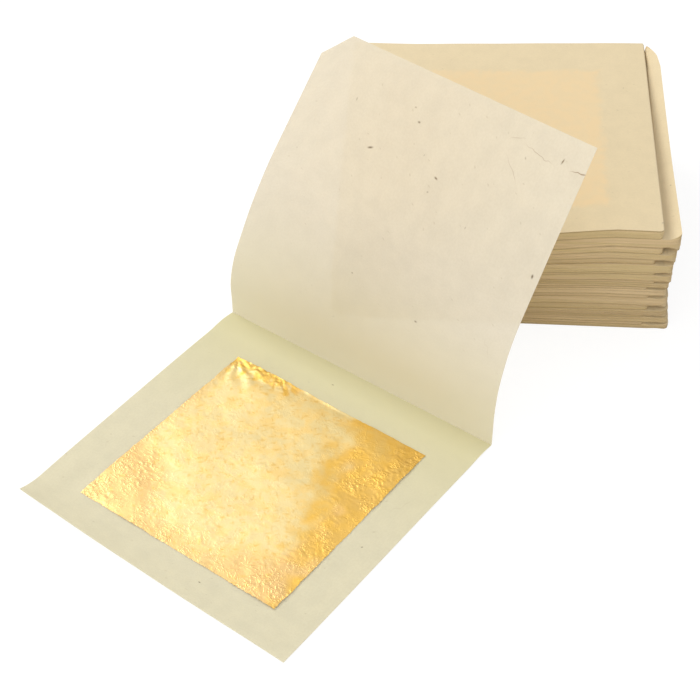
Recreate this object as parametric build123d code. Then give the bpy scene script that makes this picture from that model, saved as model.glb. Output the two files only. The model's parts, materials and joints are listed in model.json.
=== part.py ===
from build123d import *
import math
import os

os.makedirs("parts", exist_ok=True)

# Paper and gold, in millimetres. A closed leaf is one sheet folded in half round a gold leaf.
leaf_side = 60.3  # the folded leaf is square
paper_thickness = 0.1
gold_side = 43.3
gold_thickness = 0.02
gold_air = 0.006  # above and below each gold leaf
leaf_air = 0.01  # between one closed leaf and the next
fold_corner = 0.06  # the bevel on the outside of a pressed fold

# The stack, from the table up. Odd bundles are pushed right with their cut ends right,
# even bundles are pushed left with their folds right. Each count is a number of leaves.
odd_counts = (4, 6, 5, 8, 6, 4, 6, 9, 6, 9)
even_counts = (2, 2, 5, 3, 2, 2, 2, 5, 5, 8)
stagger = 4.3  # how far the even bundles are pushed left of the odd ones
slot_mouth = 0.2  # what stays open between the fanned ends of two bundles
fan_reach = 0.13  # the most that a bundle's cut end fans up or down, for each of its leaves
fan_steps = 3
fold_clearance = 0.15  # along a fold, before the bundle over or under it starts to fan

# How far each bundle's right end lies back from the right-most line, as shares of stagger
odd_setback_shares = (0, 0.05, 0.12, 0.2, 0.3, 0.25, 0.17, 0.19, 0.12, 0.02)
even_setback_shares = (1.12, 1.12, 1.0, 1.02, 1.14, 0.84, 0.88, 0.98, 0.74, 0.81)
top_gold_left = 1.5  # the gold under the top sheet lies off centre
top_gold_front = 1.2

# The opened leaf. Its crease runs along its own X, the gold side is -Y and the stack is at +Y.
open_turn = -33.4  # degrees from the stack's front edge
corner_clearance = 2.7  # from the raised sheet to the stack's nearest top corner
corner_share = 0.286  # where along the crease that corner lies
open_gold_right = 0.66  # the open gold lies off the middle of its sheet
open_gold_front = 0.97

# The lower sheet bows up beside the crease and curls at the free edge's left corner.
# It lies flat under the gold, and a little past it.
bow_clearance = 1.9
curl_clearance = 0.5
bow_rise_angle = 9.0
bow_fall_angle = 6.36  # the fall is two arcs, so this is the rise over the root of two
curl_angle_left = 30.0
curl_angle_right = 1.0

# The raised sheet stands on the crease, bends back in its foot and again in its panel.
# It is cut by hand, so its left side is a little longer than its right.
raised_side_left = 60.7
raised_side_right = 58.7
stand_height = 5.7
foot_bend_left = 9.7
foot_bend_right = 7.7
foot_angle_left = 29.8
foot_angle_right = 14.3
panel_bend_left = 20.3
panel_bend_right = 14.6
panel_angle_left = 17.2
panel_angle_right = 26.6
clip_along_side = 4.7  # the raised sheet's clipped corner
clip_along_edge = 5.0
cut_overrun = 1.0

sheet_gap = gold_thickness + 2 * gold_air
leaf_thickness = 2 * paper_thickness + sheet_gap
leaf_pitch = leaf_thickness + leaf_air
right_line = (leaf_side + stagger) / 2


# The bundles as a list of places, from the table up

bundles = []
height = 0
for odd_count, even_count, odd_share, even_share in zip(
    odd_counts, even_counts, odd_setback_shares, even_setback_shares
):
    for count, share, odd in ((odd_count, odd_share, True), (even_count, even_share, False)):
        right = right_line - share * stagger
        bundles.append(
            {
                "count": count,
                "odd": odd,
                "bottom": height,
                "thickness": count * leaf_pitch,
                "left": right - leaf_side,
                "right": right,
            }
        )
        height += count * leaf_pitch
stack_height = height - leaf_air


# One closed leaf, drawn from the side and run front to back

def eased(share):
    """The lift along a fanned end, as a thin strip bends from a clamp."""
    return share * share * (3 - share) / 2


def fan_limits(index):
    """How far a bundle's cut end fans down and up, and how long the fanned part is."""
    bundle = bundles[index]
    under = bundles[index - 1] if index > 0 else None
    over = bundles[index + 1] if index + 1 < len(bundles) else None
    most = fan_reach * bundle["count"]
    limits = []
    for neighbour in (under, over):
        room = (neighbour["thickness"] - slot_mouth) / 2 if neighbour else 0
        limits.append(max(0, min(room, most)))
    folds = [neighbour for neighbour in (under, over) if neighbour]
    if bundle["odd"]:
        length = bundle["right"] - max(neighbour["right"] for neighbour in folds)
    else:
        length = min(neighbour["left"] for neighbour in folds) - bundle["left"]
    return limits[0], limits[1], length - fold_clearance


def closed_leaf(index, place):
    """The place-th leaf of a bundle: two sheets joined at the fold, parting at the cut end."""
    bundle = bundles[index]
    down, up, fan_length = fan_limits(index)
    bottom = bundle["bottom"] + place * leaf_pitch
    last = 2 * bundle["count"] - 1
    fan_start = leaf_side - fan_length

    def face_line(level, sheet):
        """One face of a sheet from the fan's start to the cut end."""
        lift = (up + down) * sheet / last - down
        return [
            (fan_start + fan_length * step / fan_steps, level + lift * eased(step / fan_steps))
            for step in range(fan_steps + 1)
        ]

    under_gap = bottom + paper_thickness
    over_gap = under_gap + sheet_gap
    top = bottom + leaf_thickness
    outline = [(0, top - fold_corner), (0, bottom + fold_corner), (fold_corner, bottom)]
    outline += face_line(bottom, 2 * place)
    outline += reversed(face_line(under_gap, 2 * place))
    outline += [(paper_thickness, under_gap), (paper_thickness, over_gap)]
    outline += face_line(over_gap, 2 * place + 1)
    outline += reversed(face_line(top, 2 * place + 1))
    outline += [(fold_corner, top)]
    if bundle["odd"]:
        points = [(bundle["left"] + along, level) for along, level in outline]
    else:
        points = [(bundle["right"] - along, level) for along, level in outline]
    side = Plane.XZ * make_face(Polyline(*points, close=True))
    return extrude(side, amount=leaf_side / 2, both=True)


def closed_gold(index, place, left=0, front=0):
    """The gold leaf between the two sheets of a closed leaf."""
    bundle = bundles[index]
    middle = (bundle["left"] + bundle["right"]) / 2 - left
    level = bundle["bottom"] + place * leaf_pitch + paper_thickness + gold_air
    gold = Box(gold_side, gold_side, gold_thickness)
    return Pos(middle, -front, level + gold_thickness / 2) * gold


def save(name, shapes):
    """One STEP file for one node, which may be a group of separate solids."""
    solids = [solid for shape in shapes for solid in shape.solids()]
    export_step(Compound(children=solids), os.path.join("parts", name + ".step"))


top_index = len(bundles) - 1
for index, bundle in enumerate(bundles):
    places = range(bundle["count"] - 1 if index == top_index else bundle["count"])
    name = f"bundle_{index + 1:02d}"
    save(name + "_leaves", [closed_leaf(index, place) for place in places])
    save(name + "_gold", [closed_gold(index, place) for place in places])

# The top leaf is a piece by itself, the next one to be used
top_place = bundles[top_index]["count"] - 1
save("top_leaf", [closed_leaf(top_index, top_place)])
save("top_leaf_gold", [closed_gold(top_index, top_place, top_gold_left, top_gold_front)])


# A sheet is drawn as its two side outlines, and is straight from one to the other.
# A course is a list of runs, each with its length and how far it turns towards the back face.

def along_course(start, heading, course):
    """The front face's point and heading after each run. Heading 0 is straight up."""
    across, up = start
    stations = [(across, up, heading)]
    for length, turn in course:
        after = heading + turn
        if turn:
            radius = length / math.radians(turn)
            across += radius * (cos_of(heading) - cos_of(after))
            up += radius * (sin_of(after) - sin_of(heading))
        else:
            across += length * sin_of(heading)
            up += length * cos_of(heading)
        heading = after
        stations.append((across, up, heading))
    return stations


def cos_of(degrees):
    return math.cos(math.radians(degrees))


def sin_of(degrees):
    return math.sin(math.radians(degrees))


def face_edges(along, start, heading, course, depth):
    """The edges of a sheet's front face, or of the face that lies depth behind it."""
    edges = []
    stations = along_course(start, heading, course)
    for (length, turn), (across, up, before) in zip(course, stations):
        half = along_course((across, up), before, [(length / 2, turn / 2)])[1]
        full = along_course((across, up), before, [(length, turn)])[1]
        points = [
            (along, a + depth * cos_of(h), b - depth * sin_of(h))
            for a, b, h in ((across, up, before), half, full)
        ]
        if turn:
            edges.append(ThreePointArc(*points))
        else:
            edges.append(Line(points[0], points[2]))
    return edges


def side_face(along, start, heading, course, foot=()):
    """A sheet's side, closed at its far end and, through the foot's points, at its near end."""
    front = face_edges(along, start, heading, course, 0)
    back = face_edges(along, start, heading, course, paper_thickness)
    near = [back[0] @ 0] + [(along, a, b) for a, b in foot] + [front[0] @ 0]
    far = Line(front[-1] @ 1, back[-1] @ 1)
    closing = [Line(a, b) for a, b in zip(near, near[1:])]
    return Face(Wire(front + [far] + back + closing))


def sheet(left_side, right_side):
    return Solid.make_loft([left_side.outer_wire(), right_side.outer_wire()], ruled=True)


# The side courses of the opened leaf, in its own frame

crease_height = paper_thickness + sheet_gap
foot_left = [(stand_height, 0), (foot_bend_left, foot_angle_left)]
foot_right = [(stand_height, 0), (foot_bend_right, foot_angle_right)]
panel_left = [
    (panel_bend_left, panel_angle_left),
    (raised_side_left - stand_height - foot_bend_left - panel_bend_left, 0),
]
panel_right = [
    (panel_bend_right, panel_angle_right),
    (raised_side_right - stand_height - foot_bend_right - panel_bend_right, 0),
]
hinge_left = along_course((0, crease_height), 0, foot_left)[-1]
hinge_right = along_course((0, crease_height), 0, foot_right)[-1]


def raised_face_at(level, share):
    """Where the raised sheet's front face stands at a height, a share of the way along."""
    left_course, right_course = foot_left + panel_left, foot_right + panel_right
    left_stations = along_course((0, crease_height), 0, left_course)
    right_stations = along_course((0, crease_height), 0, right_course)

    def between(run, part):
        ends = []
        for stations, course in ((left_stations, left_course), (right_stations, right_course)):
            length, turn = course[run]
            across, up, heading = stations[run]
            piece = [(length * part, turn * part)]
            ends.append(along_course((across, up), heading, piece)[1] if part else stations[run])
        return [(1 - share) * a + share * b for a, b in zip(*ends)]

    run = 0
    while run + 1 < len(left_course) and between(run, 1)[1] < level:
        run += 1
    low, high = 0, 1
    for _ in range(40):
        middle = (low + high) / 2
        if between(run, middle)[1] < level:
            low = middle
        else:
            high = middle
    return between(run, high)


# The opened leaf is placed by its clearance to the stack's top front-left corner
corner_across, corner_up, corner_heading = raised_face_at(stack_height, corner_share)
corner_depth = corner_across + (paper_thickness + corner_clearance) / cos_of(corner_heading)
corner_along = corner_share * leaf_side
corner_x = bundles[top_index]["left"]
corner_y = -leaf_side / 2
open_x = corner_x - corner_along * cos_of(open_turn) + corner_depth * sin_of(open_turn)
open_y = corner_y - corner_along * sin_of(open_turn) - corner_depth * cos_of(open_turn)
open_place = Pos(open_x, open_y, 0) * Rot(0, 0, open_turn)

# The lower sheet, from the crease to the free edge. Its front face is the one underneath.
gold_margin = (leaf_side - gold_side) / 2
curl_length = gold_margin - open_gold_front - curl_clearance
bow_length = gold_margin + open_gold_front - bow_clearance
bow_radius = bow_length / math.radians(bow_rise_angle + 2 * bow_fall_angle)
bow_rise = bow_radius * math.radians(bow_rise_angle + bow_fall_angle)
bow_fall = bow_radius * math.radians(bow_fall_angle)
flat_run = leaf_side - bow_length - curl_length
lower_heading = -90 + bow_rise_angle
bow = [
    (bow_rise, -bow_rise_angle - bow_fall_angle),
    (bow_fall, bow_fall_angle),
    (flat_run, 0),
]
crease_foot = [(0, crease_height), (paper_thickness, crease_height), (paper_thickness, 0)]
lower_sheet = sheet(
    side_face(0, (0, 0), lower_heading, bow + [(curl_length, curl_angle_left)], crease_foot),
    side_face(leaf_side, (0, 0), lower_heading, bow + [(curl_length, curl_angle_right)], crease_foot),
)
save("open_lower_sheet", [open_place * lower_sheet])

# The opened gold leaf lies bare on the lower sheet
open_gold_place = Pos(
    leaf_side / 2 + open_gold_right,
    -leaf_side / 2 - open_gold_front,
    paper_thickness + gold_air + gold_thickness / 2,
)
open_gold = open_gold_place * Box(gold_side, gold_side, gold_thickness)
save("open_gold_leaf", [open_place * open_gold])

# The raised sheet is two pieces that meet at the line where it bends as it closes
raised_foot = sheet(
    side_face(0, (0, crease_height), 0, foot_left),
    side_face(leaf_side, (0, crease_height), 0, foot_right),
)
save("raised_sheet_foot", [open_place * raised_foot])

raised_panel = sheet(
    side_face(0, hinge_left[:2], hinge_left[2], panel_left),
    side_face(leaf_side, hinge_right[:2], hinge_right[2], panel_right),
)
# The clipped corner is cut by a wedge square to the sheet there
panel_end = along_course(hinge_left[:2], hinge_left[2], panel_left)[-1]
wedge = extrude(
    make_face(
        Polyline(
            (0, -clip_along_side),
            (clip_along_edge, 0),
            (clip_along_edge, cut_overrun),
            (-cut_overrun, cut_overrun),
            (-cut_overrun, -clip_along_side),
            close=True,
        )
    ),
    amount=cut_overrun,
    both=True,
)
wedge_plane = Plane(
    origin=(0, panel_end[0], panel_end[1]),
    x_dir=(1, 0, 0),
    z_dir=(0, cos_of(panel_end[2]), -sin_of(panel_end[2])),
)
raised_panel = raised_panel - wedge_plane * wedge
save("raised_sheet_panel", [open_place * raised_panel])


# The places that the joints turn about, in the part's own frame

def placed(along, across, up):
    """A point of the opened leaf's own frame, as it lies beside the stack."""
    x = open_x + along * cos_of(open_turn) - across * sin_of(open_turn)
    y = open_y + along * sin_of(open_turn) + across * cos_of(open_turn)
    return tuple(round(value, 4) for value in (x, y, up))


print("stack height", round(stack_height, 3), "leaves", sum(odd_counts + even_counts))
print("crease from", placed(0, 0, crease_height), "to", placed(leaf_side, 0, crease_height))
print("bend from", placed(0, *hinge_left[:2]), "to", placed(leaf_side, *hinge_right[:2]))
print("open leaf at", round(open_x, 3), round(open_y, 3))
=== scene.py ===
import json
import math
import random

import bmesh
import bpy
import numpy as np
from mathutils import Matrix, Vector, noise


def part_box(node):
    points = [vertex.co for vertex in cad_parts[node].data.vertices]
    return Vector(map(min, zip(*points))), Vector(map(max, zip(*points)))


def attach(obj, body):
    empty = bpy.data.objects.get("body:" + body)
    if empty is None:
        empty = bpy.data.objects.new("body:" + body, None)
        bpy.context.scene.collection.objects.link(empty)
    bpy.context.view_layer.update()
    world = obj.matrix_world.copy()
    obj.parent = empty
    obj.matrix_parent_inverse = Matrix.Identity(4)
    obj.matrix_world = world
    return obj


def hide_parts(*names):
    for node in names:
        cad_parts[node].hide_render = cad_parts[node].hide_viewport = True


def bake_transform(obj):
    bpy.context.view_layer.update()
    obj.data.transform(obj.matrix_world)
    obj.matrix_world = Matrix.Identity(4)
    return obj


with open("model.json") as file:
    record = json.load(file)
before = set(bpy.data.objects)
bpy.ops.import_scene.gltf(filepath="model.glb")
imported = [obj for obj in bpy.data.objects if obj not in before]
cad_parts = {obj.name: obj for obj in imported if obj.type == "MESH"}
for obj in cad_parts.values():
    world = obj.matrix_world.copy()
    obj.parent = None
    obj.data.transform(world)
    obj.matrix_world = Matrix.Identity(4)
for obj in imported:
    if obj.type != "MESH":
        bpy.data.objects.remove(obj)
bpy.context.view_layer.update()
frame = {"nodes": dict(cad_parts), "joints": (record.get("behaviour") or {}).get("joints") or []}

mm = 0.001


# The camera
# It looks down on the set through a long lens, from the front and a little to the left.

lens_data = bpy.data.cameras.new("front_view")
lens_data.sensor_width = 36
lens_data.lens = 87.95
lens_data.clip_start = 0.01
camera = bpy.data.objects.new("front_view", lens_data)
camera.location = (-14.86 * mm, -278.77 * mm, 221.37 * mm)
camera.rotation_euler = (math.radians(90 - 42.74), 0, math.radians(3.3))
bpy.context.scene.collection.objects.link(camera)
bpy.context.scene.camera = camera


# The studio
# A white table in a white surround. One wide lamp stands at the left, a little towards the
# back, and a second one fills in from the front left, so the set is lit evenly and softly.

bpy.context.scene.view_settings.view_transform = "Standard"


def add_node(tree, kind, **settings):
    """One shader node. The settings are its own properties, and not its sockets."""
    node = tree.nodes.new(kind)
    for key, value in settings.items():
        setattr(node, key, value)
    return node


def join(tree, start, *ends):
    for end in ends:
        tree.links.new(start, end)


def plain_sight(tree):
    """1 for what the eye, a mirror or clear glass sees, and 0 for light that is scattered."""
    path = add_node(tree, "ShaderNodeLightPath")
    seen = path.outputs["Is Camera Ray"]
    for other in ("Is Glossy Ray", "Is Transmission Ray"):
        larger = add_node(tree, "ShaderNodeMath", operation="MAXIMUM")
        join(tree, seen, larger.inputs[0])
        join(tree, path.outputs[other], larger.inputs[1])
        seen = larger.outputs[0]
    return seen


def add_lamp(name, size, power, place, aim, colour):
    lamp = bpy.data.lights.new(name, "AREA")
    lamp.shape = "DISK"
    lamp.size = size
    lamp.energy = power
    lamp.color = colour
    lamp_object = bpy.data.objects.new(name, lamp)
    lamp_object.location = place
    lamp_object.rotation_euler = (Vector(aim) - Vector(place)).to_track_quat("-Z", "Y").to_euler()
    bpy.context.scene.collection.objects.link(lamp_object)


surround_strength = 0.66

world = bpy.data.worlds.new("surround")
bpy.context.scene.world = world
world.use_nodes = True
sky = world.node_tree
sky.nodes.clear()
sky_light = add_node(sky, "ShaderNodeBackground")
sky_light.inputs["Color"].default_value = (0.985, 0.99, 1.0, 1)
sky_light.inputs["Strength"].default_value = surround_strength
sky_white = add_node(sky, "ShaderNodeBackground")
sky_white.inputs["Color"].default_value = (1, 1, 1, 1)
sky_white.inputs["Strength"].default_value = 1.0
sky_mix = add_node(sky, "ShaderNodeMixShader")
sky_out = add_node(sky, "ShaderNodeOutputWorld")
join(sky, plain_sight(sky), sky_mix.inputs[0])
join(sky, sky_light.outputs[0], sky_mix.inputs[1])
join(sky, sky_white.outputs[0], sky_mix.inputs[2])
join(sky, sky_mix.outputs[0], sky_out.inputs["Surface"])

set_middle = (-0.02, -0.03, 0)
key_place = (-0.42, 0.2, 0.45)
fill_place = (-0.24, -0.54, 0.33)
add_lamp("key_lamp", size=0.5, power=2.1, place=key_place, aim=set_middle, colour=(1.0, 0.99, 0.97))
add_lamp("fill_lamp", size=0.6, power=1.4, place=fill_place, aim=set_middle, colour=(1.0, 0.99, 0.98))

table_reach = 2.0
table_level = -0.05 * mm
table_mesh = bpy.data.meshes.new("table")
signs = [(-1, -1), (1, -1), (1, 1), (-1, 1)]
corners = [(x * table_reach, y * table_reach, table_level) for x, y in signs]
table_mesh.from_pydata(corners, [], [(0, 1, 2, 3)])
table = bpy.data.objects.new("table", table_mesh)
bpy.context.scene.collection.objects.link(table)

# It scatters light like white paper. The eye sees an even white on which shadows lie faintly.
table_white = bpy.data.materials.new("table_white")
table_white.use_nodes = True
tree = table_white.node_tree
tree.nodes.clear()
table_light = add_node(tree, "ShaderNodeBsdfDiffuse")
table_light.inputs["Color"].default_value = (0.86, 0.86, 0.86, 1)
table_shade = add_node(tree, "ShaderNodeBsdfDiffuse")
table_shade.inputs["Color"].default_value = (0.2, 0.2, 0.2, 1)
table_glow = add_node(tree, "ShaderNodeEmission")
table_glow.inputs["Strength"].default_value = 0.86
table_seen = add_node(tree, "ShaderNodeAddShader")
table_mix = add_node(tree, "ShaderNodeMixShader")
table_out = add_node(tree, "ShaderNodeOutputMaterial")
join(tree, table_shade.outputs[0], table_seen.inputs[0])
join(tree, table_glow.outputs[0], table_seen.inputs[1])
join(tree, plain_sight(tree), table_mix.inputs[0])
join(tree, table_light.outputs[0], table_mix.inputs[1])
join(tree, table_seen.outputs[0], table_mix.inputs[2])
join(tree, table_mix.outputs[0], table_out.inputs["Surface"])
table_mesh.materials.append(table_white)


# The stack of closed leaves
# Each leaf is one sheet of thin handmade paper, cut square and folded in half. They lie in
# bundles, with their cut ends and their folds to the right by turns, and the pile sags a
# little towards its front left corner. First comes the paper itself, which every leaf shares.

def add_group(name, inputs, outputs):
    """A shader node group with float or vector inputs, which carry their values."""
    kinds = {"float": "NodeSocketFloat", "vector": "NodeSocketVector"}
    group = bpy.data.node_groups.new(name, "ShaderNodeTree")
    for socket_name, kind, value in inputs:
        socket = group.interface.new_socket(name=socket_name, in_out="INPUT", socket_type=kinds[kind])
        if value is not None:
            socket.default_value = value
    for socket_name in outputs:
        group.interface.new_socket(name=socket_name, in_out="OUTPUT", socket_type=kinds["float"])
    return group, add_node(group, "NodeGroupInput"), add_node(group, "NodeGroupOutput")


def fill_socket(tree, socket, value):
    """A number, a colour or another node's output goes into a socket."""
    if isinstance(value, (int, float)):
        socket.default_value = value
    elif isinstance(value, tuple):
        socket.default_value = (*value, 1) if socket.type == "RGBA" else value
    elif value is not None:
        tree.links.new(value, socket)


def maths(tree, operation, first, second=None, third=None):
    node = add_node(tree, "ShaderNodeMath", operation=operation)
    for socket, value in zip(node.inputs, (first, second, third)):
        fill_socket(tree, socket, value)
    return node.outputs[0]


def ramp(tree, value, low, high, start=0.0, end=1.0):
    """A smooth step from start to end as the value goes from low to high."""
    node = add_node(tree, "ShaderNodeMapRange", interpolation_type="SMOOTHSTEP")
    names = ("Value", "From Min", "From Max", "To Min", "To Max")
    for name, amount in zip(names, (value, low, high, start, end)):
        fill_socket(tree, node.inputs[name], amount)
    return node.outputs["Result"]


def cloud(tree, place, scale, detail, roughness=0.5):
    """A noise pattern with so many features to the millimetre."""
    node = add_node(tree, "ShaderNodeTexNoise")
    for name, value in (("Scale", scale), ("Detail", detail), ("Roughness", roughness)):
        node.inputs[name].default_value = value
    join(tree, place, node.inputs["Vector"])
    return node.outputs["Fac"]


def drawn_out(tree, place, turn, length):
    """The place turned, and shrunk along one direction, which draws a pattern out along it."""
    turned = add_node(tree, "ShaderNodeVectorRotate", rotation_type="Z_AXIS")
    fill_socket(tree, turned.inputs["Vector"], place)
    fill_socket(tree, turned.inputs["Angle"], turn)
    apart = add_node(tree, "ShaderNodeSeparateXYZ")
    join(tree, turned.outputs[0], apart.inputs[0])
    together = add_node(tree, "ShaderNodeCombineXYZ")
    join(tree, maths(tree, "DIVIDE", apart.outputs["X"], length), together.inputs["X"])
    join(tree, apart.outputs["Y"], together.inputs["Y"])
    return together.outputs[0]


def curled(tree, place, amount, scale):
    """The place moved about by a noise, so that straight things curl."""
    wander = add_node(tree, "ShaderNodeTexNoise")
    wander.inputs["Scale"].default_value = scale
    wander.inputs["Detail"].default_value = 1
    join(tree, place, wander.inputs["Vector"])
    centred = add_node(tree, "ShaderNodeVectorMath", operation="SUBTRACT")
    centred.inputs[1].default_value = (0.5, 0.5, 0.5)
    join(tree, wander.outputs["Color"], centred.inputs[0])
    scaled = add_node(tree, "ShaderNodeVectorMath", operation="SCALE")
    join(tree, centred.outputs[0], scaled.inputs[0])
    fill_socket(tree, scaled.inputs["Scale"], amount)
    moved = add_node(tree, "ShaderNodeVectorMath", operation="ADD")
    join(tree, place, moved.inputs[0])
    join(tree, scaled.outputs[0], moved.inputs[1])
    return moved.outputs[0]


# Specks: a few cells of a cell pattern, drawn out along one direction into specks or fibres
speck_group, speck_in, speck_out = add_group(
    "paper_specks",
    [
        ("Place", "vector", None),
        ("Turn", "float", 0.0),
        ("Length", "float", 2.0),
        ("Spacing", "float", 4.0),
        ("Radius", "float", 0.2),
        ("Share", "float", 0.2),
        ("Curl", "float", 0.3),
    ],
    ["Mask"],
)
speck_place = curled(speck_group, speck_in.outputs["Place"], speck_in.outputs["Curl"], 0.35)
speck_place = drawn_out(speck_group, speck_place, speck_in.outputs["Turn"], speck_in.outputs["Length"])
cells = add_node(speck_group, "ShaderNodeTexVoronoi", voronoi_dimensions="2D")
join(speck_group, speck_place, cells.inputs["Vector"])
join(speck_group, maths(speck_group, "DIVIDE", 1.0, speck_in.outputs["Spacing"]), cells.inputs["Scale"])
cell_random = add_node(speck_group, "ShaderNodeSeparateColor")
join(speck_group, cells.outputs["Color"], cell_random.inputs[0])
chosen = maths(speck_group, "LESS_THAN", cell_random.outputs["Red"], speck_in.outputs["Share"])
reach = maths(speck_group, "DIVIDE", speck_in.outputs["Radius"], speck_in.outputs["Spacing"])
own_size = maths(speck_group, "ADD", cell_random.outputs["Green"], 0.4)
own_reach = maths(speck_group, "MULTIPLY", reach, own_size)
spot = ramp(speck_group, cells.outputs["Distance"], 0.0, own_reach, 1.0, 0.0)
join(speck_group, maths(speck_group, "MULTIPLY", spot, chosen), speck_out.inputs["Mask"])

# Body: the cloudy look of pulp held to the light, and its fine grain
body_group, body_in, body_out = add_group("paper_body", [("Place", "vector", None)], ["Cloud", "Grain"])
join(body_group, cloud(body_group, body_in.outputs["Place"], 0.3, 5, 0.6), body_out.inputs["Cloud"])
join(body_group, cloud(body_group, body_in.outputs["Place"], 2.6, 3), body_out.inputs["Grain"])


def use_group(tree, group, **values):
    node = add_node(tree, "ShaderNodeGroup", node_tree=group)
    for name, value in values.items():
        fill_socket(tree, node.inputs[name], value)
    return node


def mix_colour(tree, factor, first, second):
    node = add_node(tree, "ShaderNodeMix", data_type="RGBA")
    factor_socket, first_socket, second_socket = node.inputs[0], node.inputs[6], node.inputs[7]
    for socket, value in ((factor_socket, factor), (first_socket, first), (second_socket, second)):
        fill_socket(tree, socket, value)
    return node.outputs[2]


speck_brown = (0.33, 0.24, 0.12)
fleck_brown = (0.12, 0.075, 0.035)
bark_brown = (0.2, 0.13, 0.06)
fibre_brown = (0.36, 0.22, 0.12)
grain_brown = (0.45, 0.36, 0.22)


def pulp(tree, place, base, dark_share=1.0):
    """The colour of the paper's face: its cloudy body, faint specks, dark specks and fibres."""
    body = use_group(tree, body_group, Place=place)
    pale = tuple(min(1.0, channel * 1.02) for channel in base)
    deep = tuple(channel * 0.98 for channel in base)
    colour = mix_colour(tree, ramp(tree, body.outputs["Cloud"], 0.3, 0.7), deep, pale)
    grain = ramp(tree, body.outputs["Grain"], 0.35, 0.65, 0.0, 0.055)
    colour = mix_colour(tree, grain, colour, grain_brown)
    # Turn, length, spacing, radius, share of the cells, curl, strength and colour of each kind
    kinds = [
        (0.4, 2.2, 1.9, 0.14, 0.3, 1.2, 0.22, speck_brown),
        (2.0, 1.8, 6.5, 0.32, 0.16, 2.4, 0.85 * dark_share, fleck_brown),
        (1.1, 16.0, 2.6, 0.12, 0.09, 7.0, 0.34 * dark_share, fibre_brown),
    ]
    for turn, length, spacing, radius, share, curl, strength, tint in kinds:
        specks = use_group(
            tree, speck_group, Place=place, Turn=turn, Length=length,
            Spacing=spacing, Radius=radius, Share=share, Curl=curl,
        )
        colour = mix_colour(tree, maths(tree, "MULTIPLY", specks.outputs[0], strength), colour, tint)
    return colour, body.outputs["Grain"]


def new_material(name):
    material = bpy.data.materials.new(name)
    material.use_nodes = True
    material.node_tree.nodes.clear()
    return material, material.node_tree


def dull_surface(tree, colour, roughness, bump_height, bump_distance):
    """A paper's own surface: dull, with a slight bump."""
    surface = add_node(tree, "ShaderNodeBsdfPrincipled")
    surface.inputs["Roughness"].default_value = roughness
    surface.inputs["Specular IOR Level"].default_value = 0.25
    join(tree, colour, surface.inputs["Base Color"])
    bump = add_node(tree, "ShaderNodeBump")
    bump.inputs["Distance"].default_value = bump_distance
    bump.inputs["Strength"].default_value = 0.5
    join(tree, bump_height, bump.inputs["Height"])
    join(tree, bump.outputs[0], surface.inputs["Normal"])
    return surface


def finish_material(tree, shader):
    out = add_node(tree, "ShaderNodeOutputMaterial")
    join(tree, shader.outputs[0], out.inputs["Surface"])


def millimetre_place(tree):
    """The place on the object in millimetres, for the paper's pattern."""
    coordinates = add_node(tree, "ShaderNodeTexCoord")
    scaled = add_node(tree, "ShaderNodeVectorMath", operation="SCALE")
    scaled.inputs["Scale"].default_value = 1 / mm
    join(tree, coordinates.outputs["Object"], scaled.inputs[0])
    return scaled.outputs[0]


leaf_cream = (0.76, 0.63, 0.405)
edge_tan = (0.82, 0.625, 0.37)
edge_olive = (0.74, 0.58, 0.3)
# The edges' deep colour: a darker tone of the cut edges, and also painted shade between sheets
edge_deep_and_shade = (0.4, 0.285, 0.14)

closed_leaf_paper, tree = new_material("closed_leaf_paper")
colour, grain = pulp(tree, millimetre_place(tree), leaf_cream, 0.5)
finish_material(tree, dull_surface(tree, colour, 0.7, grain, 0.05 * mm))

# The cut edges, seen end on: tan, finely streaked along the sheets, each leaf its own shade. Their
# deep colour is partly a tone of the paper and partly painted shade: of the gaps between the
# sheets, lower down in the pile, and in the slot under each bundle.
closed_leaf_edge, tree = new_material("closed_leaf_edge")
place = millimetre_place(tree)
stretched = add_node(tree, "ShaderNodeMapping")
stretched.inputs["Scale"].default_value = (0.07, 0.07, 3.6)
join(tree, place, stretched.inputs["Vector"])
streaks = cloud(tree, stretched.outputs[0], 1.0, 4)
own_shade = add_node(tree, "ShaderNodeAttribute", attribute_name="leaf_shade").outputs["Fac"]
streak_shade = maths(tree, "MULTIPLY", ramp(tree, streaks, 0.3, 0.7), 0.22)
shade = maths(tree, "MULTIPLY_ADD", own_shade, 0.75, streak_shade)
olive_share = ramp(tree, cloud(tree, stretched.outputs[0], 0.31, 2), 0.4, 0.6)
light_edge = mix_colour(tree, olive_share, edge_tan, edge_olive)
colour = mix_colour(tree, shade, edge_deep_and_shade, light_edge)
finish_material(tree, dull_surface(tree, colour, 0.8, streaks, 0.05 * mm))

stack_low, stack_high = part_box("top_leaf")
stack_left, stack_front, stack_back = stack_low.x, stack_low.y, stack_high.y
fold_line = stack_high.x
sag_share = 0.175
sag_start = 19 * mm
back_swell_share = 0.086
wave_height = 0.22 * mm
wave_length = 40 * mm
wave_depth = 5 * mm
still_height = 3 * mm
edge_wave_length = 13 * mm
edge_wave_start = 23 * mm
end_lift = 2.05 * mm
end_lift_height = 22.4 * mm
end_lift_start = -8 * mm

# The loose ends rise steeply, within this run beyond the fold line
end_rise_start = 0.16 * mm
end_rise_end = 0.24 * mm


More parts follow.
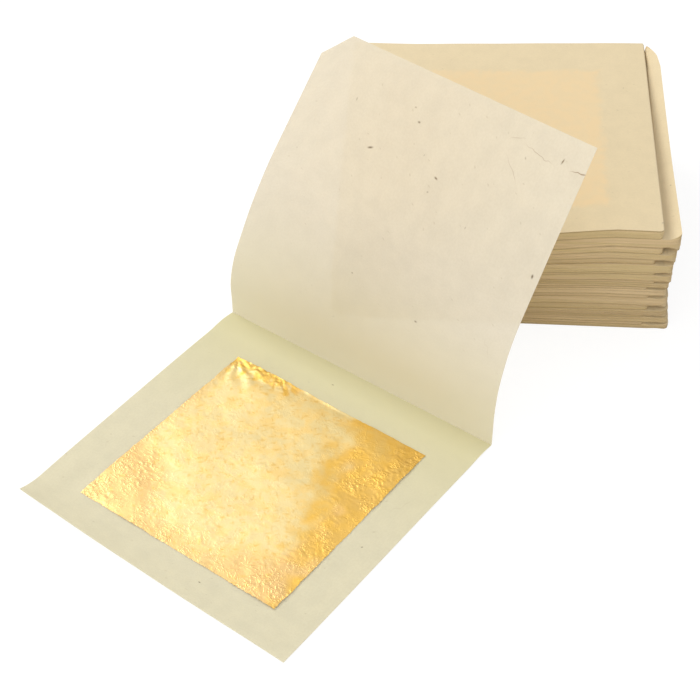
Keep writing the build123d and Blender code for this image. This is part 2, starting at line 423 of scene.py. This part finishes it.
def settle(places):
    """How the pile lies: lower towards its front left corner, higher towards its back right
    one, where the loose cut ends beyond the folds rise too, and everywhere a little wavy."""
    x, y, z = places.T
    leftward = np.clip((sag_start - x) / (sag_start - stack_left), 0, 1)
    frontward = np.clip((stack_back - y) / (stack_back - stack_front), 0, 1)
    rightward = np.clip((x - stack_left) / (fold_line - stack_left), 0, 1)
    sag = sag_share * np.sin(leftward * math.pi / 2) * frontward ** 1.2
    swell = back_swell_share * rightward ** 1.3 * (1 - frontward) ** 1.5
    waves = np.array(
        [noise.noise((a / wave_length, b / wave_length, c / wave_depth)) for a, b, c in places]
    )
    short = np.array([noise.noise((a / edge_wave_length, 0, c / wave_depth)) for a, b, c in places])
    waves += short * np.clip((abs(y) - edge_wave_start) / (stack_back - edge_wave_start), 0, 1)
    waves *= wave_height * np.clip(z / still_height, 0, 1)
    beyond = np.clip((x - fold_line - end_rise_start) / (end_rise_end - end_rise_start), 0, 1)
    backward = np.clip((y - end_lift_start) / (stack_back - end_lift_start), 0, 1)
    ends = end_lift * beyond * backward ** 1.2 * np.clip(z / end_lift_height, 0, 1) ** 3
    settled = places.copy()
    settled[:, 2] = np.maximum(z * (1 - sag + swell) + waves + ends, 0)
    return settled


def round_corner(x, y, end_x, end_y, radius):
    """Moves a point near a square corner into the rounded one."""
    across = 1 - abs(end_x - x) / radius
    along = 1 - abs(end_y - y) / radius
    if across <= 0 or along <= 0:
        return x, y
    inward_x = radius * across * (1 - math.sqrt(1 - along * along / 2))
    inward_y = radius * along * (1 - math.sqrt(1 - across * across / 2))
    return x - math.copysign(inward_x, end_x), y - math.copysign(inward_y, end_y)


loose_corner_radius = 8.0 * mm
small_corner_radius = 0.9 * mm
tucked_corner_radius = 0.3 * mm
least_overhang = 2 * mm

# How a leaf is divided: evenly, closer beside its ends, and on each side of the steep rise
fine_parts, plain_parts = 14, 10
end_cuts = [0.25 * mm, 0.6 * mm, 1.0 * mm, 1.6 * mm, 2.3 * mm, 3.2 * mm, 3.8 * mm]
end_rise_cuts = [0.1 * mm, 0.3 * mm]


def has_loose_ends(node):
    """True for the bundles whose cut ends stand out to the right, beyond the others' folds."""
    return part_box(node)[1].x > fold_line + least_overhang


def cut_through(shape, place, normal):
    everything = list(shape.verts) + list(shape.edges) + list(shape.faces)
    bmesh.ops.bisect_plane(shape, geom=everything, plane_co=place, plane_no=normal, dist=1e-8)


def divided_copy(node, fine_ends, rise_turn, rise_shift):
    """The node's shape with clean large faces, divided across and along. Its last two cuts lie
    where the loose ends rise beyond the folds, once the bundle is turned and shifted."""
    shape = bmesh.new()
    shape.from_mesh(frame["nodes"][node].data)
    bmesh.ops.remove_doubles(shape, verts=shape.verts, dist=1e-7)
    bmesh.ops.dissolve_limit(shape, angle_limit=math.radians(1), verts=shape.verts, edges=shape.edges)
    low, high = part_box(node)
    for axis in (0, 1):
        normal = Vector((1, 0, 0)) if axis == 0 else Vector((0, 1, 0))
        parts = fine_parts if fine_ends else plain_parts
        places = list(np.linspace(low[axis], high[axis], parts + 1)[1:-1])
        if fine_ends:
            first_places = [low[axis] + cut for cut in end_cuts]
            last_places = [high[axis] - cut for cut in end_cuts]
            places = first_places + places + last_places
        for place in places:
            cut_through(shape, normal * place, normal)
    if fine_ends and has_loose_ends(node):
        normal = Vector((1, -rise_turn, 0)).normalized()
        for cut in end_rise_cuts:
            cut_through(shape, Vector((fold_line + cut - rise_shift, 0, 0)), normal)
    return shape


def islands(shape):
    """The separate leaves of a bundle, each a list of vertices, from the lowest up."""
    seen, found = set(), []
    for start in shape.verts:
        if start in seen:
            continue
        group, front = [], [start]
        seen.add(start)
        while front:
            vertex = front.pop()
            group.append(vertex)
            for edge in vertex.link_edges:
                other = edge.other_vert(vertex)
                if other not in seen:
                    seen.add(other)
                    front.append(other)
        found.append(group)
    return sorted(found, key=lambda group: min(vertex.co.z for vertex in group))


pinch_share = 0.22
pinch_middle = 1.1 * mm
pinch_reach = 1.7 * mm


def pinched(x, z, middle):
    """Just beyond the folds the loose cut ends lie close together, and dark slots open."""
    nearness = 1 - abs(x - fold_line - pinch_middle) / pinch_reach
    return middle + (z - middle) * (1 - pinch_share * max(0, nearness)) if nearness > 0 else z


leaf_turn = 0.08
paper_gap = 0.05 * mm

# The shade of a cut edge, from 0 for deep to 1 for light: its least, and what is added to it.
# The share added by height is painted light, paler higher up; the bundle and leaf shares are random.
least_shade = 0.2
height_painted_light = 0.3
bundle_shade = 0.3
leaf_shade = 0.2


def lay_leaves(node, body, seed, slip, materials, detailed=True, whole_turn=0.0, whole_shift=0.0):
    """A bundle as it lies: its leaves slip and turn a little, their corners are soft, and each
    has its own shade. It is painted paler higher up in the pile, as painted light, and the lowest
    leaf is painted deepest, as painted shade of the slot that opens under it."""
    chance = random.Random(seed)
    shape = divided_copy(node, detailed, math.radians(whole_turn), whole_shift)
    node_low, node_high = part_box(node)
    middle = (node_low.z + node_high.z) / 2
    protrudes = detailed and has_loose_ends(node)
    bundle_slip = chance.uniform(-1, 1) * slip
    bundle_lightness = chance.random()
    shade_layer = shape.faces.layers.float.new("leaf_shade")
    for leaf in islands(shape):
        xs = [vertex.co.x for vertex in leaf]
        ys = [vertex.co.y for vertex in leaf]
        ends_x, ends_y = (min(xs), max(xs)), (min(ys), max(ys))
        slip_x = chance.uniform(-0.5, 0.5) * slip
        slip_y = chance.uniform(-0.5, 0.5) * slip + bundle_slip
        turn = math.radians(chance.uniform(-1, 1) * leaf_turn + whole_turn)
        height = min(vertex.co.z for vertex in leaf)
        shade = least_shade + height_painted_light * height / stack_high.z
        shade = shade + bundle_shade * bundle_lightness + leaf_shade * chance.random()
        # A bundle's lowest leaf is painted dark: painted shade of the slot that opens under it
        if height < node_low.z + paper_gap:
            shade = 0
        for vertex in leaf:
            x, y = vertex.co.x, vertex.co.y
            if protrudes:
                vertex.co.z = pinched(x, vertex.co.z, middle)
            if detailed:
                end_x = ends_x[0] if x < 0 else ends_x[1]
                end_y = ends_y[0] if y < 0 else ends_y[1]
                radius = small_corner_radius
                if x > 0 and y > 0:
                    radius = loose_corner_radius if protrudes else tucked_corner_radius
                x, y = round_corner(x, y, end_x, end_y, radius)
            vertex.co.x = x + slip_x - y * turn + whole_shift
            vertex.co.y = y + slip_y + x * turn
        for face in {face for vertex in leaf for face in vertex.link_faces}:
            face[shade_layer] = shade
    mesh = bpy.data.meshes.new(node)
    shape.normal_update()
    for face in shape.faces:
        level = abs(face.normal.z) > 0.5
        face.material_index = 1 if detailed and not level else 0
        face.smooth = level
    shape.to_mesh(mesh)
    shape.free()
    places = np.zeros(len(mesh.vertices) * 3)
    mesh.vertices.foreach_get("co", places)
    mesh.vertices.foreach_set("co", settle(places.reshape(-1, 3)).ravel())
    for material in materials:
        mesh.materials.append(material)
    mesh.update()
    piece = bpy.data.objects.new("laid_" + node, mesh)
    bpy.context.scene.collection.objects.link(piece)
    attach(piece, body)
    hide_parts(node)
    return piece


leaf_slip = 0.12 * mm
upper_turn = 0.7
upper_shift = -0.35 * mm
leaf_nodes = [name for name in frame["nodes"] if name.endswith("_leaves")]
bundle_names = sorted(name.removesuffix("_leaves") for name in leaf_nodes)
bodies = ["base_bundle"] + bundle_names[1:]
lies = [(0.0, 0.0)] * len(bundle_names)
lies[-2] = (upper_turn, upper_shift)  # the bundle under the last one is a little askew
looks = [closed_leaf_paper, closed_leaf_edge]
for number, (bundle, body, lie) in enumerate(zip(bundle_names, bodies, lies)):
    piece = lay_leaves(bundle + "_leaves", body, number, leaf_slip, looks, True, *lie)


# The top leaf
# The next leaf to be used, folded shut over its gold like the rest. The paper is so thin that
# the gold shows through its upper sheet as a warm square with a soft edge.

gold_low, gold_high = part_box("top_leaf_gold")
gold_warm = (0.815, 0.63, 0.37)

top_leaf_paper, tree = new_material("top_leaf_paper")
place = millimetre_place(tree)
colour, grain = pulp(tree, place, leaf_cream, 0.4)
tint_noise = cloud(tree, place, 0.5, 3)
tint_middle = (gold_low + gold_high) / 2 / mm
tint_half = (gold_high - gold_low) / 2 / mm
apart = add_node(tree, "ShaderNodeSeparateXYZ")
join(tree, place, apart.inputs[0])
insides = []
for axis, name in enumerate("XY"):
    off = maths(tree, "ABSOLUTE", maths(tree, "SUBTRACT", apart.outputs[name], tint_middle[axis]))
    insides.append(maths(tree, "SUBTRACT", tint_half[axis], off))
nearest_side = maths(tree, "MINIMUM", *insides)
wander = maths(tree, "MULTIPLY_ADD", tint_noise, 2.4, -1.2)
inside = maths(tree, "ADD", nearest_side, wander)
soft_square = ramp(tree, inside, -1.0, 1.0)
unevenness = ramp(tree, tint_noise, 0.35, 0.65, 0.7, 1.0)
warm = maths(tree, "MULTIPLY", soft_square, unevenness)
colour = mix_colour(tree, warm, colour, gold_warm)
finish_material(tree, dull_surface(tree, colour, 0.65, grain, 0.05 * mm))

looks = [top_leaf_paper, closed_leaf_edge]
top_piece = lay_leaves("top_leaf", "top_leaf", 40, leaf_slip, looks)


# The gold inside the closed leaves
# Beaten leaf, thinner than any foil. Each piece lies flat between the two sheets of its leaf.

gold_bright = (0.8, 0.645, 0.32)
gold_yellow = (0.8, 0.585, 0.235)


def gold_surface(tree, colour, roughness, bump_height, bump_distance):
    """Beaten gold: metal, with a fine bump."""
    surface = add_node(tree, "ShaderNodeBsdfPrincipled")
    surface.inputs["Metallic"].default_value = 1.0
    join(tree, colour, surface.inputs["Base Color"])
    join(tree, roughness, surface.inputs["Roughness"])
    bump = add_node(tree, "ShaderNodeBump")
    bump.inputs["Distance"].default_value = bump_distance
    join(tree, bump_height, bump.inputs["Height"])
    join(tree, bump.outputs[0], surface.inputs["Normal"])
    return surface


pressed_gold, tree = new_material("pressed_gold")
place = millimetre_place(tree)
patches = cloud(tree, place, 0.3, 5, 0.6)
colour = mix_colour(tree, ramp(tree, patches, 0.4, 0.6), gold_yellow, gold_bright)
roughness = ramp(tree, patches, 0.3, 0.7, 0.4, 0.3)
finish_material(tree, gold_surface(tree, colour, roughness, cloud(tree, place, 1.2, 3), 0.01 * mm))

for number, (bundle, body, lie) in enumerate(zip(bundle_names, bodies, lies)):
    piece = lay_leaves(bundle + "_gold", body, 100 + number, 0, [pressed_gold], False, *lie)
piece = lay_leaves("top_leaf_gold", "top_leaf", 141, 0, [pressed_gold], False)


# The opened leaf's two sheets
# One sheet, folded at the crease. The lower half lies on the table, bowed beside the crease
# and curled at its left corner; the raised half stands up and leans back over the stack.

joints = {joint["name"]: joint for joint in frame["joints"]}
crease_start = np.array(joints["crease"]["pos_m"])
along_crease = np.array(joints["crease"]["axis"])
across_crease = np.array((-along_crease[1], along_crease[0], 0))
upward = np.array((0, 0, 1))
paper_thickness = 0.1 * mm
leaf_side = 60.3 * mm

# Each course is a list of runs up a side: its length and its turn in degrees, from the crease
raised_left = [(5.7 * mm, 0), (9.7 * mm, 29.8), (20.3 * mm, 17.2), (25.0 * mm, 0)]
raised_right = [(5.7 * mm, 0), (7.7 * mm, 14.3), (14.6 * mm, 26.6), (30.7 * mm, 0)]
raised_steps = (8, 14, 24, 26)
lower_heading = -81
lower_left = [(5.35 * mm, -15.36), (2.22 * mm, 6.36), (45.7 * mm, 0), (7.03 * mm, 24)]
lower_right = [(5.35 * mm, -15.36), (2.22 * mm, 6.36), (45.7 * mm, 0), (7.03 * mm, 1)]
lower_steps = (10, 5, 34, 10)
sheet_stations = 61
shares = np.linspace(0, 1, sheet_stations)


def walk(start, heading, course, steps):
    """Points and headings along a course, with so many steps in each run."""
    across, up = start
    stations = [(across, up, heading)]
    for (length, turn), count in zip(course, steps):
        for _ in range(count):
            middle = math.radians(heading + turn / count / 2)
            across += length / count * math.sin(middle)
            up += length / count * math.cos(middle)
            heading += turn / count
            stations.append((across, up, heading))
    return np.array(stations)


def sheet_between(left, right, trim):
    """A sheet's front points and headings between two side courses. trim gives how much of
    the sheet's height is left at each share of its width."""
    rows = np.linspace(0, 1, len(left))
    columns = []
    for share in shares:
        side = left * (1 - share) + right * share
        kept = rows * trim(share)
        columns.append(np.column_stack([np.interp(kept, rows, side[:, i]) for i in range(3)]))
    return np.array(columns)


def rim_of(count_s, count_t):
    """The numbers of the outer points of a grid, once round."""
    rim = [i * count_t for i in range(count_s)]
    rim += [(count_s - 1) * count_t + j for j in range(1, count_t)]
    rim += [i * count_t + count_t - 1 for i in range(count_s - 2, -1, -1)]
    return rim + list(range(count_t - 2, 0, -1))


def closed_faces(count_s, count_t):
    """The faces of a thin closed solid whose front and back are grids of points."""
    faces = []
    layer = count_s * count_t
    for i in range(count_s - 1):
        for j in range(count_t - 1):
            a, b = i * count_t + j, (i + 1) * count_t + j
            faces.append((a, b, b + 1, a + 1))
            faces.append((layer + a, layer + a + 1, layer + b + 1, layer + b))
    rim = rim_of(count_s, count_t)
    return faces + [(b, a, layer + a, layer + b) for a, b in zip(rim, rim[1:] + rim[:1])]


def thin_piece(name, vertices, faces, material, place_name, places):
    """An object from a thin solid, with each point's place on the sheet kept for its pattern."""
    mesh = bpy.data.meshes.new(name)
    mesh.from_pydata([tuple(vertex) for vertex in vertices], [], faces)
    attribute = mesh.attributes.new(place_name, "FLOAT_VECTOR", "POINT")
    attribute.data.foreach_set("vector", np.array(places, float).ravel())
    mesh.materials.append(material)
    mesh.update()
    for polygon in mesh.polygons:
        polygon.use_smooth = True
    mesh.set_sharp_from_angle(angle=math.radians(60))
    piece = bpy.data.objects.new(name, mesh)
    bpy.context.scene.collection.objects.link(piece)
    return piece


def build_sheet(name, columns, start, lift, pull, material):
    """A paper sheet on a grid of stations, wavy by lift and shifted by pull, which both take
    the place along the crease and the place up the sheet."""
    rows = columns.shape[1]
    vertices, places = [], []
    for side in (0, 1):
        for share, column in zip(shares, columns):
            for row, (across, up, heading) in enumerate(column):
                s, t = share * leaf_side, row / (rows - 1) * leaf_side
                turn = math.radians(heading)
                depth = side * paper_thickness - lift(s, t)
                shift_s, shift_a = pull(s, t)
                outward = across + depth * math.cos(turn) + shift_a
                flat = along_crease * (s + shift_s) + across_crease * outward
                vertices.append(start + flat + upward * (up - depth * math.sin(turn)))
                places.append((s / mm, t / mm, 0))
    return thin_piece(name, vertices, closed_faces(len(shares), rows), material, "paper_place", places)


def ripple(s, t, height, length, seed):
    return height * noise.noise((s / length, t / length, seed))


# Fleck: one speck of bark or hair in the paper, at its own place
fleck_group, fleck_in, fleck_out = add_group(
    "paper_fleck",
    [
        ("Place", "vector", None),
        ("Centre", "vector", (0, 0, 0)),
        ("Turn", "float", 0.0),
        ("Length", "float", 1.0),
        ("Width", "float", 0.3),
        ("Curl", "float", 0.2),
    ],
    ["Mask"],
)
fleck_place = curled(fleck_group, fleck_in.outputs["Place"], fleck_in.outputs["Curl"], 0.5)
fleck_off = add_node(fleck_group, "ShaderNodeVectorMath", operation="SUBTRACT")
join(fleck_group, fleck_place, fleck_off.inputs[0])
join(fleck_group, fleck_in.outputs["Centre"], fleck_off.inputs[1])
stretch = maths(fleck_group, "DIVIDE", fleck_in.outputs["Length"], fleck_in.outputs["Width"])
fleck_place = drawn_out(fleck_group, fleck_off.outputs[0], fleck_in.outputs["Turn"], stretch)
distance = add_node(fleck_group, "ShaderNodeVectorMath", operation="LENGTH")
join(fleck_group, fleck_place, distance.inputs[0])
half_width = maths(fleck_group, "MULTIPLY", fleck_in.outputs["Width"], 0.5)
fleck_mask = ramp(fleck_group, distance.outputs["Value"], half_width, 0.0)
join(fleck_group, fleck_mask, fleck_out.inputs["Mask"])


def add_flecks(tree, place, colour, flecks, tint, curl):
    """Each fleck is its place along and up the sheet in mm, its turn, length, width, strength."""
    for s, t, turn, length, width, strength in flecks:
        fleck = use_group(
            tree, fleck_group, Place=place, Centre=(s, t, 0.0), Turn=math.radians(turn),
            Length=length, Width=width, Curl=curl,
        )
        colour = mix_colour(tree, maths(tree, "MULTIPLY", fleck.outputs[0], strength), colour, tint)
    return colour


# Towards the crease the paper is a little warmer, between these distances from it in mm
crease_tint = (0.965, 0.965, 0.87)
tint_start, tint_end = 4, 36


def make_open_paper(name, face, through, flecks, hairs, through_share, clear_share):
    """Paper that lets light through. A share of it scatters the light, so that what stands
    behind it shows as a soft shadow, and a share is clear and shows it faintly."""
    material, tree = new_material(name)
    place = add_node(tree, "ShaderNodeAttribute", attribute_name="paper_place").outputs["Vector"]
    apart = add_node(tree, "ShaderNodeSeparateXYZ")
    join(tree, place, apart.inputs[0])
    near_crease = ramp(tree, apart.outputs["Y"], tint_start, tint_end, 1.0, 0.0)
    shaders = []
    for base in (face, through):
        colour, grain = pulp(tree, place, base, 0.5)
        warmer = tuple(channel * tint for channel, tint in zip(base, crease_tint))
        colour = mix_colour(tree, near_crease, colour, warmer)
        colour = add_flecks(tree, place, colour, flecks, bark_brown, 0.25)
        colour = add_flecks(tree, place, colour, hairs, fibre_brown, 1.1)
        if base is face:
            shaders.append(dull_surface(tree, colour, 0.7, grain, 0.03 * mm))
        else:
            shaders.append(add_node(tree, "ShaderNodeBsdfTranslucent"))
            join(tree, colour, shaders[1].inputs["Color"])
    mixed = add_node(tree, "ShaderNodeMixShader")
    mixed.inputs[0].default_value = through_share
    join(tree, shaders[0].outputs[0], mixed.inputs[1])
    join(tree, shaders[1].outputs[0], mixed.inputs[2])
    if clear_share:
        clear = add_node(tree, "ShaderNodeBsdfTransparent")
        paper = mixed
        mixed = add_node(tree, "ShaderNodeMixShader")
        mixed.inputs[0].default_value = clear_share
        join(tree, paper.outputs[0], mixed.inputs[1])
        join(tree, clear.outputs[0], mixed.inputs[2])
    finish_material(tree, mixed)
    return material


# Along the sheet, up it, turn in degrees, length, width and strength of each fleck or hair
raised_flecks = [
    (18.7, 46.1, -20, 1.7, 0.5, 0.85),
    (33.7, 46.9, 10, 1.2, 0.5, 0.85),
    (25.9, 52.6, 0, 0.9, 0.5, 0.7),
    (55.4, 57.0, -70, 1.2, 0.45, 0.85),
    (58.9, 42.8, 60, 0.8, 0.6, 0.9),
    (41.0, 22.9, 0, 0.9, 0.6, 0.7),
    (25.6, 25.2, 0, 0.6, 0.45, 0.55),
    (11.7, 51.6, 80, 0.9, 0.4, 0.4),
    (24.0, 54.3, 0, 0.7, 0.4, 0.5),
    (33.3, 44.7, 0, 0.6, 0.4, 0.45),
    (61.0, 41.5, 0, 0.6, 0.4, 0.4),
    (48.5, 55.2, 40, 0.7, 0.4, 0.4),
]
raised_hairs = [
    (59.2, 56.6, -12, 5.5, 0.22, 0.85),
    (50.5, 56.4, 8, 9.0, 0.16, 0.55),
    (47.0, 53.0, 35, 7.5, 0.14, 0.4),
    (45.5, 57.0, -20, 5.0, 0.14, 0.4),
]
lower_flecks = [
    (28.3, 9.4, 20, 0.8, 0.5, 0.85),
    (38.9, 53.7, 0, 0.7, 0.5, 0.8),
    (56.0, 35.0, 30, 0.6, 0.4, 0.6),
]
raised_face = (0.86, 0.81, 0.695)
raised_through = (0.88, 0.83, 0.715)
lower_face = (0.77, 0.72, 0.555)
lower_through = (0.92, 0.895, 0.765)
raised_paper = make_open_paper(
    "raised_sheet_paper", raised_face, raised_through, raised_flecks, raised_hairs,
    through_share=0.6, clear_share=0.2,
)
lower_paper = make_open_paper(
    "lower_sheet_paper", lower_face, lower_through, lower_flecks, [],
    through_share=0.45, clear_share=0,
)

clip_along_side = 4.7 * mm
clip_along_edge = 5.0 * mm
top_edge_bulge = 0.5 * mm


def raised_trim(share):
    """The raised sheet's corner is clipped, and its top edge bulges a little."""
    clipped = clip_along_side * max(0, 1 - share * leaf_side / clip_along_edge)
    bulge = top_edge_bulge * math.sin(math.pi * min(1, share * 1.05)) ** 2
    return 1 - (clipped - bulge) / leaf_side


def raised_lift(s, t):
    """The raised sheet is a little wavy, but not beside the crease."""
    free = min(1, t / (10 * mm))
    return free * (ripple(s, t, 0.35 * mm, 22 * mm, 3.1) + ripple(s, t, 0.08 * mm, 7 * mm, 5.7))


def raised_pull(s, t):
    return 0, 0


raised_columns = sheet_between(
    walk((0, 0), 0, raised_left, raised_steps),
    walk((0, 0), 0, raised_right, raised_steps),
    raised_trim,
)
raised = build_sheet("raised_sheet", raised_columns, crease_start, raised_lift, raised_pull, raised_paper)


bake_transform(raised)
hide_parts("raised_sheet_foot", "raised_sheet_panel")


def lower_lift(s, t):
    """How far the lower sheet stands off the table besides its bow and curl."""
    free = min(1, t / (8 * mm))
    return -free * (0.16 * mm + ripple(s, t, 0.16 * mm, 15 * mm, 9.3))


def lower_pull(s, t):
    """The curled corner is drawn in, along the crease and towards it."""
    nearness = (t / leaf_side) ** 3 * (1 - s / leaf_side) ** 3
    return 1.0 * mm * nearness, 0.75 * mm * nearness


table_start = crease_start - upward * crease_start[2]
lower_columns = sheet_between(
    walk((0, 0), lower_heading, lower_left, lower_steps),
    walk((0, 0), lower_heading, lower_right, lower_steps),
    lambda share: 1,
)
lower = build_sheet("lower_sheet", lower_columns, table_start, lower_lift, lower_pull, lower_paper)
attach(lower, "open_leaf")
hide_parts("open_lower_sheet")


# The bare gold leaf
# A square of beaten gold, bright and soft. It lies on the lower sheet, finely wrinkled
# towards its edges and its right corner, and crumpled at the corner where it was lifted.

gold_side = 43.3 * mm
gold_right = 0.66 * mm
gold_front = 0.97 * mm
gold_clearance = 0.006 * mm
gold_cells = 190
gold_thickness = 0.01 * mm
noise.seed_set(7)  # or else noise_vector, and with it the wrinkles, would differ on every run


def smooth_step(value, low, high):
    share = max(0.0, min(1.0, (value - low) / (high - low)))
    return share * share * (3 - 2 * share)


def deep_share(u, v):
    """1 where the gold is closely wrinkled, which is in its right corner and along the crumpled
    edge, else 0. There its colour is painted deeper, as painted shade of the close wrinkles.
    u is the share along the crease, v the share away from it."""
    wander = 0.14 * noise.noise((u * 6, v * 6, 6.1)) + 0.13 * noise.noise((u * 17, v * 17, 2.3))
    corner = smooth_step(u - 0.6 - 0.37 * v + wander, -0.07, 0.13)
    ragged = 0.1 * noise.noise((u * 30, v * 30, 5))
    crumpled = smooth_step(0.07 - v + ragged, 0, 0.05) * smooth_step(0.38 - u, 0, 0.06)
    return max(corner, crumpled)


def worked_share(u, v):
    """How wrinkled the gold is: most along its edges, and least left of its middle."""
    left_corner = 1 - math.hypot(u, 1 - v) / 0.42
    front_edge = (v - 0.7) / 0.24
    right_edge = (u - 0.82) / 0.14
    left_edge = 1 - u / 0.1
    patch = noise.noise((u * 4.5, v * 4.5, 9.4))
    deep = deep_share(u, v) * (0.42 + 0.6 * patch)
    near = max(left_corner * 1.6, front_edge * 0.45, right_edge * 1.2, left_edge * 0.5, deep)
    return 0.26 + 0.12 * max(0, patch) + 0.8 * smooth_step(near + 0.3 * patch, 0.05, 0.9)


# The heights of its waves and wrinkles in millimetres
gold_rest = 0.14
gold_wave = 0.16
gold_dimple = 0.03
worm_wrinkle = 0.055
fine_wrinkle = 0.03
corner_fold = 0.16
edge_crumple = 0.15
edge_turn_up = 0.1


def crinkle(u, v):
    """The gold's height over the paper at the shares u and v, from noises and soft steps whose
    lengths are in millimetres. Each wrinkle is the thin line where a noise is near 0."""
    x, y = u * gold_side / mm, v * gold_side / mm
    bend = noise.noise_vector((x / 2.2, y / 2.2, 4.4))
    bx, by = x + bend.x * 1.3, y + bend.y * 1.3
    worm = max(0, 1 - 3.6 * abs(noise.noise((bx / 1.5, by / 0.85, 2.2))))
    fine = max(0, 1 - 3.2 * abs(noise.noise((by / 0.62, bx / 0.62, 7.2))))
    worked = worked_share(u, v) * max(0, 0.6 + 1.3 * noise.noise((x / 2.6, y / 2.6, 6.6)))
    height = gold_rest + gold_wave * noise.noise((x / 9, y / 9, 1.7))
    height += worked * (worm_wrinkle * worm + fine_wrinkle * fine)
    height += gold_dimple * noise.noise((x / 2.4, y / 2.4, 5.2))
    # Soft folds run out from the lifted corner
    radius = math.hypot(x, y)
    spread = max(0, 1 - radius / 15) * smooth_step(radius, 0.6, 3)
    folds = 0.5 + 0.5 * math.sin(math.atan2(y, x) * 13 + 2.5 * noise.noise((x / 4, y / 4, 8)))
    height += corner_fold * spread * folds
    # The edge beside the crease is crumpled and turned up, most of all near that corner
    crumple_x, crumple_y = x + bend.y * 1.5, y + bend.x * 1.5
    crumple = max(0, 1 - 2.2 * abs(noise.noise((crumple_x / 1.5, crumple_y / 0.9, 3.3))))
    crumple_height = edge_crumple * crumple * max(0, 1 - y / 3.6)
    height += crumple_height * smooth_step(x, 0, 1.5) * (1 - smooth_step(x, 11, 16))
    unevenness = 0.6 + 0.4 * noise.noise((x / 3, 0, 1.2))
    turned_up = max(0, 1 - y / 0.5) * (1 - smooth_step(x, 22, 30)) * unevenness
    return (height + edge_turn_up * turned_up) * mm


def edge_wander(share, seed):
    """How far a torn edge wanders from a straight line."""
    slow, quick = noise.noise((share * 14, seed, 0)), noise.noise((share * 70, seed, 3))
    return 0.16 * mm * slow + 0.12 * mm * quick


bare_gold_leaf, tree = new_material("bare_gold")
place = add_node(tree, "ShaderNodeAttribute", attribute_name="gold_place").outputs["Vector"]
apart = add_node(tree, "ShaderNodeSeparateXYZ")
join(tree, place, apart.inputs[0])
worked = apart.outputs["Z"]
# The wrinkled and deep colours are painted shade: the deeper orange of light bounced between the gold's
# close wrinkles and crumples
gold_deep_painted_shade = (0.75, 0.465, 0.095)
gold_wrinkle_painted_shade = (0.76, 0.505, 0.21)
gold_shade = (0.7, 0.46, 0.14)
deep_shade_mask = add_node(tree, "ShaderNodeAttribute", attribute_name="gold_deep_painted_shade").outputs["Fac"]
patches = cloud(tree, place, 0.35, 6, 0.65)
colour = mix_colour(tree, ramp(tree, patches, 0.36, 0.6), gold_yellow, gold_bright)
colour = mix_colour(tree, ramp(tree, worked, 0.2, 0.85), colour, gold_wrinkle_painted_shade)
# Dark strokes: painted shade of small wrinkles
for turn, curl in ((0.7, 1.4), (2.3, 2.2)):
    strokes = use_group(
        tree, speck_group, Place=place, Turn=turn, Length=2.4,
        Spacing=0.8, Radius=0.3, Share=0.4, Curl=curl,
    )
    stroke_strength = ramp(tree, patches, 0.35, 0.6, 0.9, 0.35)
    stroke_amount = maths(tree, "MULTIPLY", strokes.outputs[0], stroke_strength)
    colour = mix_colour(tree, stroke_amount, colour, gold_shade)
# Painted shade where the gold is closely wrinkled or crumpled
deep_shade_amount = maths(tree, "MULTIPLY", deep_shade_mask, ramp(tree, patches, 0.3, 0.65, 1.0, 0.75))
colour = mix_colour(tree, deep_shade_amount, colour, gold_deep_painted_shade)
roughness = ramp(tree, patches, 0.3, 0.7, 0.46, 0.34)

# Fine veins, too small for the mesh, wherever the gold is worked
bent_place = curled(tree, place, 1.4, 0.45)
vein = maths(tree, "ABSOLUTE", maths(tree, "SUBTRACT", cloud(tree, bent_place, 1.25, 1.5), 0.5))
vein_height = ramp(tree, vein, 0.0, 0.09, 1.0, 0.0)
vein_patch = ramp(tree, cloud(tree, place, 0.4, 2), 0.4, 0.6, 0.2, 1.0)
patchy_veins = maths(tree, "MULTIPLY", vein_height, vein_patch)
worked_veins = maths(tree, "MULTIPLY", patchy_veins, worked)
finish_material(tree, gold_surface(tree, colour, roughness, worked_veins, 0.028 * mm))

steps = np.linspace(0, 1, gold_cells + 1)
centre_s = leaf_side / 2 + gold_right
centre_t = leaf_side / 2 + gold_front
vertices, places, deep_shade_shares = [], [], []
for u in steps:
    for v in steps:
        s = centre_s + (u - 0.5) * gold_side + (1 - u) * edge_wander(v, 1) + u * edge_wander(v, 2)
        t = centre_t + (v - 0.5) * gold_side + (1 - v) * edge_wander(u, 3) + v * edge_wander(u, 4)
        z = paper_thickness - lower_lift(s, t) + gold_clearance + crinkle(u, v)
        vertices.append(table_start + along_crease * s - across_crease * t + upward * z)
        places.append((u * gold_side / mm, v * gold_side / mm, worked_share(u, v)))
        deep_shade_shares.append(deep_share(u, v))
vertices += [vertex + upward * gold_thickness for vertex in vertices]
places, deep_shade_shares = places * 2, deep_shade_shares * 2
count = gold_cells + 1
faces = closed_faces(count, count)
bare_gold = thin_piece("bare_gold_leaf", vertices, faces, bare_gold_leaf, "gold_place", places)
# Where the colour is painted deeper, as painted shade of the close wrinkles
deep_shade_layer = bare_gold.data.attributes.new("gold_deep_painted_shade", "FLOAT", "POINT")
deep_shade_layer.data.foreach_set("value", deep_shade_shares)
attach(bare_gold, "open_gold")
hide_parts("open_gold_leaf")
